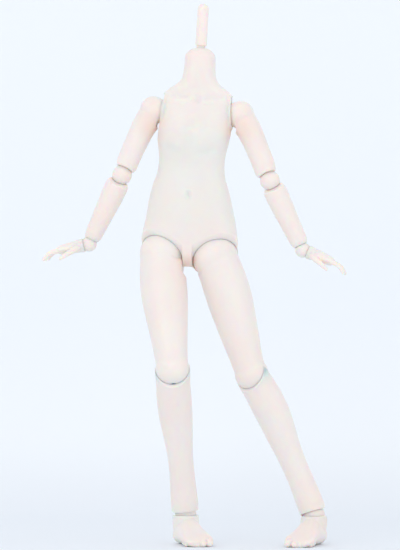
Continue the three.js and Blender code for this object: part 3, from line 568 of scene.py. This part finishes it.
def wrist_ball_casting():
    return finish_edges(cut(ball(WRIST_BALL),
                            rod(CORD_BORE - 0.3, (0, 0, -0.7), (0, 0, WRIST_BALL + 2)),
                            *swing_slot(WRIST_BALL + 2, 174 - WRIST_BEND, 186 + WRIST_BEND,
                                        2 * WIRE + 1.2, 90)))


pair(upper_arm_casting(), "upper_arm")
pair(elbow_ball_casting(), "elbow_ball")
pair(forearm_casting(), "forearm")
pair(wrist_ball_casting(), "wrist_ball")


# Hands: a palm, four fingers and a thumb run together, with a recess for the wrist ball

def swept(name, points, sizes, radius, steps):
    """A round form along a line of points, closed at both ends."""
    line = bpy.data.curves.new(name, "CURVE")
    line.dimensions = "3D"
    line.bevel_depth, line.bevel_resolution, line.use_fill_caps = radius, steps, True
    run = line.splines.new("POLY")
    run.points.add(len(points) - 1)
    for node, place, size in zip(run.points, points, sizes):
        node.co, node.radius = (*place, 1), size
    piece = bpy.data.objects.new(name, line)
    bpy.context.collection.objects.link(piece)
    take_up(piece)
    bpy.ops.object.convert(target="MESH")
    return finish_edges(bpy.context.object)


def digit(points, radii):
    """A finger or toe along a line of points, rounded at its tip."""
    points = [Vector(point) for point in points]
    ahead = (points[-1] - points[-2]).normalized()
    sizes = list(radii)
    for share in (0.35, 0.6, 0.8, 0.93, 0.99):
        points.append(points[len(radii) - 1] + ahead * radii[-1] * share)
        sizes.append(radii[-1] * math.sqrt(1 - share**2))
    return swept("digit", points, sizes, 1, 2)


def finger_path(points, times=4):
    """Points drawn closer together along a smooth bend."""
    points = [Vector(point) for point in points]
    out = []
    for i in range(len(points) - 1):
        a, b = points[max(i - 1, 0)], points[i]
        c, d = points[i + 1], points[min(i + 2, len(points) - 1)]
        for k in range(times):
            t = k / times
            out.append(0.5 * (2 * b + (c - a) * t + (2 * a - 5 * b + 4 * c - d) * t**2
                              + (3 * b - a - 3 * c + d) * t**3))
    return out + [points[-1]]


def drawn(values, times=4):
    out = []
    for a, b in zip(values, values[1:]):
        out += [a + (b - a) * k / times for k in range(times)]
    return out + [values[-1]]


def hand_casting():
    palm = grow("palm", [
        (-PALM_LONG - 2.5, 2.4, 9), (-PALM_LONG, 4.2, 11.2), (-PALM_LONG + 5, 5.1, 12),
        (-PALM_LONG + 12, 5.9, 11.4), (-WRIST_BAND - 6, 6.4, 8.8), (-WRIST_BAND - 2, 6.9, 7.6),
        (-WRIST_BAND, 6.6, 6.8)], 24, 40)
    root = 3 - PALM_LONG
    for i in range(4):
        y = -8.3 + i * 5.5
        long = FINGER_LONG * (0.94, 1.04, 1, 0.82)[i]
        r = FINGER * (1, 1.02, 1, 0.9)[i]
        spread = (i - 1.4) * 0.9
        join(palm, digit(
            finger_path([(0, y, root), (0.6, y + spread, root - 4 - long * 0.35),
                         (2.8, y + spread * 1.5, root - 4 - long * 0.68),
                         (6, y + spread * 1.7, root - 4 - long * 0.9)]),
            drawn([r * 1.2, r * 1.12, r, r * 0.8])))
    join(palm, digit(
        finger_path([(1.5, -7, -11), (4, -11, -17.5), (6.2, -13, -14.5 - THUMB_LONG * 0.6),
                     (8.6, -13.2, -14.5 - THUMB_LONG)]), drawn([3.6, 3.1, 2.5, 2])))
    blended(palm, 0.45, 3)
    cut(palm, beyond((0, 0, -WRIST_BAND), (0, 0, 1)), ball(WRIST_BALL + FIT),
        rod(3.9, (0, 0, 0), (0, 0, -HAND_BAR - 4.2)),
        rod(BAR + FIT, (0, -7.6, -HAND_BAR), (0, 7.6, -HAND_BAR)))
    return finish_edges(palm)


pair(hand_casting(), "hand")


# Legs, from the centre of each joint down -Z, the inner side towards +X

def rim_shell(turn):
    """The torso's shell round a hip ball, in the frame of a thigh that is turned so against it."""
    shell = ball(HIP_BALL + HIP_LIP + RIM_GAP)
    rim = rim_normal(-1)
    common(shell, beyond(rim * -RIM_GAP, rim))
    return turned(shell, turn.to_4x4())


def thigh_casting():
    leg = grow("thigh", [
        (-THIGH, 16.2, 15.8, 14), (-THIGH + 10, 16.2, 16.4, 13.4),
        (-THIGH + 19, 16.9, 17.2, 14.4, -0.2),
        (-THIGH + 31, 18.2, 18.4, 17, -0.4), (-THIGH + 48, 20.1, 19.6, 19.6, -0.8),
        (-52, 22.6, 20.5, 21.6, -1.3), (-38, 23.3, 20.8, 22.4, -1.6), (-25, 23.2, 20.8, 22.4, -1.5),
        (-15, 22.8, 20.9, 22, -1), (-7, 22.5, 21.6, 21.8, -0.5), (0, 22.1, 21.8, 21.6, -0.1),
        (4, 21.6, 21.4, 21.4)], 56, 64)
    flip = Matrix.Diagonal((-1, 1, 1))
    torso_turn = torso_frame.to_3x3()
    for side, swings in (("right", (8, 0, -20, -40)), ("left", (8, 0))):
        stance = places[f"{side}_thigh"].to_3x3()
        for back in swings:
            swing = Matrix.Rotation(rad(back), 3, torso_x)
            turn = (swing @ stance).transposed() @ torso_turn
            cut(leg, rim_shell(turn if side == "right" else flip @ turn @ flip))
    bridge = (HIP_SPAN - CROTCH) / 2 - FIT
    flat = rod(HIP_BALL, (bridge, 0, 0), (bridge + 20, 0, 0))
    turned(flat, (places["right_thigh"].to_3x3().transposed() @ torso_turn).to_4x4())
    cut(leg, flat)
    join(leg, ball(HIP_BALL), ball(KNEE_BALL, (0, 0, -THIGH)))
    blended(leg, 0.9, 9)
    mouth = math.tan(rad(HIP_MOUTH)) * (HIP_BALL + 4)
    knee = [turned(tool, Matrix.Translation((0, 0, -THIGH)))
            for tool in swing_slot(KNEE_BALL + 6, 176, 188 + KNEE_BEND, 2 * CORD_BORE)]
    cut(leg, rod(CORD_BORE, (0, 0, -1), (0, 0, HIP_BALL + 3), 48, mouth),
        rod(HIP_RECESS, (0, 0, 1), (0, 0, -HIP_STUB - 3)),
        rod(CORD_BORE, (0, 0, 0), (0, 0, -THIGH)), *knee)
    return finish_edges(leg)


def shin_casting():
    end = -SHIN
    leg = grow("shin", [
        (end + ANKLE_HEM, 13.1, 12.5, 12.7), (end + ANKLE_HEM + 1.2, 13.5, 12.9, 13, 0, 0.5),
        (end + 16, 13.5, 12.8, 13, 0, 1.6), (end + 28, 13, 12.4, 13, 0, 2.6),
        (end + 47, 12.5, 12, 13.4, 0, 3),
        (end + 67, 13.2, 12.6, 15.4, -0.1, 3), (end + 87, 15.2, 13.8, 18.2, -0.5, 3),
        (-47, 16.9, 14.8, 20.2, -0.9, 2.8), (-28, 17.3, 16, 19.6, -0.9, 2),
        (-16, 17, 15.4, 18.4, -0.5, 0.8),
        (-5, 17.4, 15.8, 17.5), (KNEE_RIM + 3, 17.2, 16.8, 17.2)], 60, 64)
    top = (0, 0, KNEE_RIM)
    hem = (0, -math.sin(rad(ANKLE_HEM_RAKE)), -math.cos(rad(ANKLE_HEM_RAKE)))
    return finish_edges(cut(
        leg, ball(KNEE_BALL + FIT), ball(ANKLE_BALL + FIT, (0, 0, end)),
        rod(CORD_BORE, (0, 0, 0), (0, 0, end)),
        beyond((0, 0, end + ANKLE_HEM), hem),
        beyond(top, (0, -math.sin(rad(KNEE_FRONT)), math.cos(rad(KNEE_FRONT)))),
        beyond(top, (0, math.sin(rad(KNEE_BACK)), math.cos(rad(KNEE_BACK))))))


def ankle_ball_casting():
    mouth = math.tan(rad(ANKLE_MOUTH)) * (ANKLE_BALL + 2)
    return finish_edges(cut(
        ball(ANKLE_BALL), rod(CORD_BORE, (0, 0, 0), (0, 0, ANKLE_BALL + 2)),
        rod(1.6, (0, 0, 1), (0, 0, -ANKLE_BALL - 2), 48, mouth),
        *swing_slot(ANKLE_BALL + 2, 180 - ANKLE_MOUTH, 188 + ANKLE_POINT, 2 * WIRE + 1.2)))


def foot_casting():
    sole, toe, half = -ANKLE_HIGH, FOOT_LONG - HEEL_LONG, FOOT_WIDE / 2
    foot = grow("foot", [
        (-HEEL_LONG, 5, 6, 5, 0, sole + 9.5), (-HEEL_LONG + 4, 10.2, 9.6, 8, 0, sole + 9.5),
        (0, 12.4, 9.8, 14, 0, sole + 9.5), (14, 13.3, 9.8, 16, 0.4, sole + 9.5),
        (22, 14, 9.6, 12, 0.5, sole + 9.2), (toe - 27, half - 0.6, 9.4, 8.8, 0.6, sole + 8.8),
        (toe - 15, half, 8.6, 4.8, 0.6, sole + 7.6),
        (toe - 8, half - 1, 7, 2.6, 0.6, sole + 6),
        (toe - 4, half - 4, 4.6, 1.6, 1.4, sole + 4.6)], 36, 48)
    turned(foot, Matrix(((1, 0, 0, 0), (0, 0, -1, 0), (0, 1, 0, 0), (0, 0, 0, 1))))
    join(foot, grow("heel", [
        (sole + 6, 11.6, 15, 13.2), (sole + 14, 12.2, 15.5, 12.8),
        (-ANKLE_COLLAR - 4, 13.3, 14.2, 12.9),
        (-ANKLE_COLLAR, 13.2, 13.6, 12.7), (0, 12.8, 13, 12.2), (4, 12.4, 12.4, 11.8)], 20, 48))
    blended(foot, 0.8, 14)
    for i in range(5):
        x = (9.6, 3.1, -2.4, -7.3, -11.6)[i] * (half / 15.5)
        tip = toe - (0, 0.6, 3, 6, 9.5)[i]
        r = (4.2, 3, 2.8, 2.7, 2.7)[i]
        join(foot, digit(
            finger_path([(x, 12 - tip, sole + r + 1.2), (x, r + 2.5 - tip, sole + r + 0.8),
                         (x, r * 0.92 - tip, sole + r * 0.92)]), drawn([r, r, r * 0.9])))
    blended(foot, 0.6, 3)
    crest = (0, 0, COLLAR_CREST)
    cut(foot, beyond((0, 0, sole), (0, 0, -1)),
        beyond(crest, (0, -math.sin(rad(COLLAR_FRONT)), math.cos(rad(COLLAR_FRONT)))),
        beyond(crest, (0, math.sin(rad(COLLAR_BACK)), math.cos(rad(COLLAR_BACK)))),
        ball(ANKLE_BALL + FIT), rod(4.2, (0, 0, 0), (0, 0, -FOOT_BAR - 4.2)),
        rod(BAR + FIT, (-8.1, 0, -FOOT_BAR), (8.1, 0, -FOOT_BAR)))
    return finish_edges(foot)


pair(thigh_casting(), "thigh")
pair(shin_casting(), "shin")
pair(ankle_ball_casting(), "ankle_ball")
pair(foot_casting(), "foot")


# Elastic, steel hooks and bars inside

for name in ("right", "left"):
    places[f"{name}_shoulder"] = torso_frame.copy()
    places[f"{name}_shoulder"].translation = joint_at(f"{name}_shoulder_swing")


def elastic_run(start, end, rounded=0):
    run = rod(CORD, start, end, 24)
    if rounded:
        join(run, *[ball(CORD, at, 24) for at in (start, end)[:rounded]])
    return finish_edges(run)


def bent_wire(points):
    path = finger_path(points)
    return swept("wire", path, [1] * len(path), WIRE, 3)


def hook(reach):
    """A wire from a joint's centre that closes round its bar."""
    ring = BAR + FIT + WIRE
    points = [(0, 0, -1), (0, 0, ring + 2 - reach)]
    points += [(math.cos(rad(90 - 44 * i)) * ring, 0, math.sin(rad(90 - 44 * i)) * ring - reach)
               for i in range(7)]
    return finish_edges(join(bent_wire(points), ball(WIRE * 1.6, around=24)))


def inside_pieces():
    ends = cord_ends()
    loop = elastic_run(ends[0], CORD_TOP, 2)
    set_place(join(loop, elastic_run(ends[1], CORD_TOP, 1)), "leg_cord", "torso", "torso")
    reach = SHOULDER_SPAN / 2 - SHOULDER_BALL + 0.3
    set_place(elastic_run((-reach, 0, SHOULDER_HEIGHT), (reach, 0, SHOULDER_HEIGHT)),
              "arm_cord", "torso", "torso")
    set_place(bent_wire([(0, NECK_Y, NECK_TOP - POST_DEPTH), (0, NECK_Y, NECK_TOP - 30),
                         (0, NECK_Y + 1, SHOULDER_HEIGHT + 20), CORD_TOP + UP * (CORD + FIT)]),
              "neck_hook", "torso", "torso")
    pair(elastic_run((CORD + FIT, 0, 0), (SHOULDER_BALL - 0.6, 0, 0)), "shoulder_cord", "shoulder")
    pair(elastic_run((0, 0, UPPER_ARM), (0, 0, ELBOW_BALL + CORD_END), 1), "arm_cord", "elbow_ball")
    pair(elastic_run((0, 0, ELBOW_BALL - CORD_END), (0, 0, CORD_END - ELBOW_BALL)),
         "elbow_cord", "elbow_ball", "elbow_ball")
    pair(elastic_run((0, 0, -ELBOW_BALL - CORD_END), (0, 0, WIRE * 1.6 + FIT - FOREARM)),
         "forearm_cord", "forearm", "forearm")
    pair(finish_edges(rod(BAR, (0, -7.3, -HAND_BAR), (0, 7.3, -HAND_BAR))), "hand_bar", "hand", "hand")
    pair(hook(HAND_BAR), "wrist_hook", "hand", "hand")
    pair(elastic_run((0, 0, HIP_BALL - FIT), (0, 0, -HIP_STUB)), "hip_cord", "thigh")
    pair(elastic_run((0, 0, -HIP_STUB - FIT), (0, 0, CORD + FIT - THIGH)),
         "thigh_cord", "thigh", "thigh")
    pair(elastic_run((0, 0, 0), (0, 0, WIRE * 1.6 + FIT - SHIN), 1), "shin_cord", "shin", "shin")
    pair(finish_edges(rod(BAR, (-7.8, 0, -FOOT_BAR), (7.8, 0, -FOOT_BAR))), "foot_bar", "foot", "foot")
    pair(turned(hook(FOOT_BAR), Matrix.Rotation(math.pi / 2, 4, "Z")), "ankle_hook", "foot", "foot")


inside_pieces()


# Finishes

def new_look(name):
    look = bpy.data.materials.new(name)
    look.use_nodes = True
    tree = look.node_tree
    return look, tree, tree.nodes["Principled BSDF"], tree.nodes.new("ShaderNodeTexCoord")


def speckle(tree, where, size, detail=3.0, rough=0.5):
    noise = tree.nodes.new("ShaderNodeTexNoise")
    noise.inputs["Scale"].default_value = size
    noise.inputs["Detail"].default_value = detail
    noise.inputs["Roughness"].default_value = rough
    tree.links.new(where, noise.inputs["Vector"])
    return noise.outputs["Fac"]


def spread_over(tree, value, low, high, to_low, to_high):
    node = tree.nodes.new("ShaderNodeMapRange")
    node.interpolation_type = "SMOOTHSTEP"
    for socket, number in (("From Min", low), ("From Max", high),
                           ("To Min", to_low), ("To Max", to_high)):
        node.inputs[socket].default_value = number
    tree.links.new(value, node.inputs["Value"])
    return node.outputs["Result"]


def distance_from(tree, where, centre):
    gap = tree.nodes.new("ShaderNodeVectorMath")
    gap.operation = "DISTANCE"
    tree.links.new(where, gap.inputs[0])
    gap.inputs[1].default_value = centre
    return gap.outputs["Value"]


def blend_colour(tree, share, under, over):
    node = tree.nodes.new("ShaderNodeMix")
    node.data_type = "RGBA"
    tree.links.new(share, node.inputs["Factor"])
    for socket, colour in zip([i for i in node.inputs if i.type == "RGBA"], (under, over)):
        if isinstance(colour, tuple):
            socket.default_value = (*colour, 1)
        else:
            tree.links.new(colour, socket)
    return [o for o in node.outputs if o.type == "RGBA"][0]


# The rosy colour serves both the resin's random rosy patches and painted warm bounce light round the
# cups; the seam colour and the strengths at the end paint warm shade into the seams between balls and
# cups.
IVORY = (0.885, 0.815, 0.770)
ROSY_PATCH_AND_BOUNCE = (0.885, 0.745, 0.680)
SEAM_SHADE = (0.80, 0.50, 0.36)
# the warm colour is painted shade for the folds of the armpits and the crotch
FOLD_SHADE_WARM = (0.89, 0.66, 0.55)
ELASTIC_DARK, ELASTIC_PALE = (0.62, 0.61, 0.58), (0.90, 0.89, 0.86)
STEEL_DARK, STEEL_BRIGHT = (0.52, 0.53, 0.55), (0.72, 0.73, 0.75)
CLOTH_FLOOR, CLOTH_BACK = (0.86, 0.89, 0.93), (0.91, 0.94, 0.97)
SEAM_SHADE_STRENGTH, KNEE_SHADE_STRENGTH, ANKLE_SHADE_STRENGTH = 0.5, 0.2, 0.4


def cast_resin(name, cups, folds):
    """Satin ivory resin, a little uneven and rosy, with painted warm shade in the folds, painted warm
    bounce light round the cups where balls seat, and painted warm shade in the seams.
    """
    look, tree, skin, spot = new_look(name)
    where = spot.outputs["Object"]
    patches = spread_over(tree, speckle(tree, where, 14), 0.38, 0.72, 0, 0.42)
    colour = blend_colour(tree, patches, IVORY, ROSY_PATCH_AND_BOUNCE)
    # painted warm shade where skin faces skin, in the armpits and the crotch
    for centre, reach in folds:
        painted_warmth = spread_over(tree, distance_from(tree, where, centre), reach, 0.004, 0, 0.5)
        colour = blend_colour(tree, painted_warmth, colour, FOLD_SHADE_WARM)
    # painted warm bounce light round each cup's rim, and painted warm shade in the seam itself
    for centre, radius, strength in cups:
        gap, radius = distance_from(tree, where, centre), radius / 1000
        painted_warmth = spread_over(tree, gap, radius + 0.0035, radius + 0.0008, 0, strength / 2)
        colour = blend_colour(tree, painted_warmth, colour, ROSY_PATCH_AND_BOUNCE)
        painted_seam_shade = spread_over(tree, gap, radius + 0.0011, radius + 0.0004, 0, strength)
        colour = blend_colour(tree, painted_seam_shade, colour, SEAM_SHADE)
    tree.links.new(colour, skin.inputs["Base Color"])
    grain = speckle(tree, where, 900, 4)
    tree.links.new(spread_over(tree, grain, 0.3, 0.7, 0.36, 0.46), skin.inputs["Roughness"])
    bump = tree.nodes.new("ShaderNodeBump")
    bump.inputs["Strength"].default_value = 0.06
    bump.inputs["Distance"].default_value = 0.0002
    tree.links.new(grain, bump.inputs["Height"])
    tree.links.new(bump.outputs["Normal"], skin.inputs["Normal"])
    skin.inputs["Subsurface Weight"].default_value = 0.8
    skin.inputs["Subsurface Radius"].default_value = (1.0, 0.45, 0.25)
    skin.inputs["Subsurface Scale"].default_value = 0.006
    return look


def braided_elastic(name):
    look, tree, skin, spot = new_look(name)
    braid = tree.nodes.new("ShaderNodeTexWave")
    braid.wave_type, braid.bands_direction = "BANDS", "DIAGONAL"
    braid.inputs["Scale"].default_value = 260
    braid.inputs["Distortion"].default_value = 1.5
    tree.links.new(spot.outputs["Object"], braid.inputs["Vector"])
    tree.links.new(blend_colour(tree, braid.outputs["Fac"], ELASTIC_DARK, ELASTIC_PALE),
                   skin.inputs["Base Color"])
    bump = tree.nodes.new("ShaderNodeBump")
    bump.inputs["Strength"].default_value = 0.5
    bump.inputs["Distance"].default_value = 0.0002
    tree.links.new(braid.outputs["Fac"], bump.inputs["Height"])
    tree.links.new(bump.outputs["Normal"], skin.inputs["Normal"])
    skin.inputs["Roughness"].default_value = 0.8
    return look


def drawn_steel(name):
    look, tree, skin, spot = new_look(name)
    grain = speckle(tree, spot.outputs["Object"], 700)
    tree.links.new(blend_colour(tree, grain, STEEL_DARK, STEEL_BRIGHT), skin.inputs["Base Color"])
    tree.links.new(spread_over(tree, grain, 0.3, 0.7, 0.22, 0.38), skin.inputs["Roughness"])
    skin.inputs["Metallic"].default_value = 1
    return look


def cups_of(node):
    """The balls that seat in a casting: centre, cup's radius and how strong the painted warm shade at
    the seam is.
    """
    if node == "torso":
        seats = [(hip_at[s], HIP_BALL) for s in ("right", "left")]
        seats += [(joint_at(f"{s}_shoulder_swing"), SHOULDER_BALL) for s in ("right", "left")]
        return [(at, radius, SEAM_SHADE_STRENGTH) for at, radius in seats]
    s, kind = node.split("_", 1)
    elbow = (joint_at(f"{s}_elbow_turn"), ELBOW_BALL, SEAM_SHADE_STRENGTH)
    wrist = (joint_at(f"{s}_wrist_turn"), WRIST_BALL, SEAM_SHADE_STRENGTH)
    knee = (joint_at(f"{s}_knee_bend"), KNEE_BALL, KNEE_SHADE_STRENGTH)
    ankle = (joint_at(f"{s}_ankle_turn"), ANKLE_BALL, ANKLE_SHADE_STRENGTH)
    return {"upper_arm": [elbow], "forearm": [elbow, wrist], "hand": [wrist],
            "shin": [knee, ankle], "foot": [ankle]}.get(kind, [])


def folds_of(node):
    """Where skin faces skin closely and warm shade is painted: the armpits and the crotch, each with
    its reach.
    """
    pits = {s: (torso_frame @ Vector((hand * 0.041, -0.004, 0.128)), 0.026)
            for s, hand in (("right", -1), ("left", 1))}
    fork = (torso_frame @ Vector((0, -0.006, -0.006)), 0.022)
    if node == "torso":
        return [*pits.values(), fork]
    s, kind = node.split("_", 1)
    return {"upper_arm": [pits[s]] if s in pits else [], "thigh": [fork]}.get(kind, [])


def dress():
    elastic, steel = braided_elastic("braided_elastic"), drawn_steel("drawn_steel")
    for node, piece in made.items():
        if "cord" in node:
            look, slot = elastic, "elastic"
        elif "hook" in node or "bar" in node:
            look, slot = steel, "steel"
        else:
            cups = cups_of(node) if node != "head_post" else []
            look, slot = cast_resin(f"{node}_resin", cups, folds_of(node)), "resin"
        piece.data.materials.clear()
        piece.data.materials.append(look)


dress()


# Floor, backdrop, lamps and camera

def plain_stage():
    """A pale floor that sweeps up behind into a plain backdrop."""
    put_down()
    bpy.ops.mesh.primitive_plane_add(size=1, location=(0, -1.4, 0))
    stage = bpy.context.object
    bpy.ops.object.transform_apply(location=True)
    bpy.ops.object.mode_set(mode="EDIT")
    bpy.ops.mesh.select_all(action="SELECT")
    bpy.ops.transform.resize(value=(7, 3, 1), center_override=(0, -1.4, 0))
    bm = bmesh.from_edit_mesh(stage.data)
    bpy.ops.mesh.select_mode(type="VERT")
    pick(bm, [w for w in bm.verts if w.co.y > 0])
    steps = [0.36] + [0.03] * 12 + [2.5]
    for i, run in enumerate(steps):
        a = rad(90 * max(0, min(i, 12)) / 12)
        bpy.ops.mesh.extrude_region_move(
            TRANSFORM_OT_translate={"value": (0, run * math.cos(a), run * math.sin(a))})
    bpy.ops.mesh.select_all(action="SELECT")
    bpy.ops.mesh.normals_make_consistent(inside=False)
    put_down()
    take_up(stage)
    bpy.ops.object.shade_smooth()
    stage.name = "floor_and_backdrop"
    look, tree, skin, spot = new_look("pale_cloth")
    height = tree.nodes.new("ShaderNodeSeparateXYZ")
    tree.links.new(spot.outputs["Object"], height.inputs["Vector"])
    rise = spread_over(tree, height.outputs["Z"], 0.0, 0.09, 0, 1)
    tree.links.new(blend_colour(tree, rise, CLOTH_FLOOR, CLOTH_BACK), skin.inputs["Base Color"])
    skin.inputs["Roughness"].default_value = 0.95
    stage.data.materials.append(look)


def lamp(name, at, power, size, aim=(0, 0, 0.28)):
    light = bpy.data.lights.new(name, "AREA")
    light.energy, light.size = power, size
    holder = bpy.data.objects.new(name, light)
    holder.location = at
    holder.rotation_euler = (Vector(aim) - Vector(at)).to_track_quat("-Z", "Y").to_euler()
    bpy.context.collection.objects.link(holder)


plain_stage()
# Two soft lamps; most of the light is the even sky of the room
lamp("window", (-1.0, -1.9, 1.4), 9, 1.8)
lamp("fill", (1.2, -1.6, 0.4), 4.6, 1.6, (0, 0, 0.13))

world = bpy.data.worlds.new("room")
bpy.context.scene.world = world
world.use_nodes = True
world.node_tree.nodes["Background"].inputs["Color"].default_value = (0.95, 0.97, 1.0, 1)
world.node_tree.nodes["Background"].inputs["Strength"].default_value = 0.92

camera = bpy.data.objects.new("camera", bpy.data.cameras.new("camera"))
bpy.context.collection.objects.link(camera)
camera.data.sensor_width = 36  # a long lens from far off, level and straight at the front
camera.data.lens = 263.3
camera.location = (0.0063, -4, 0.2688)
camera.rotation_euler = (math.pi / 2, 0, 0)
bpy.context.scene.camera = camera
bpy.context.scene.view_settings.view_transform = "Standard"
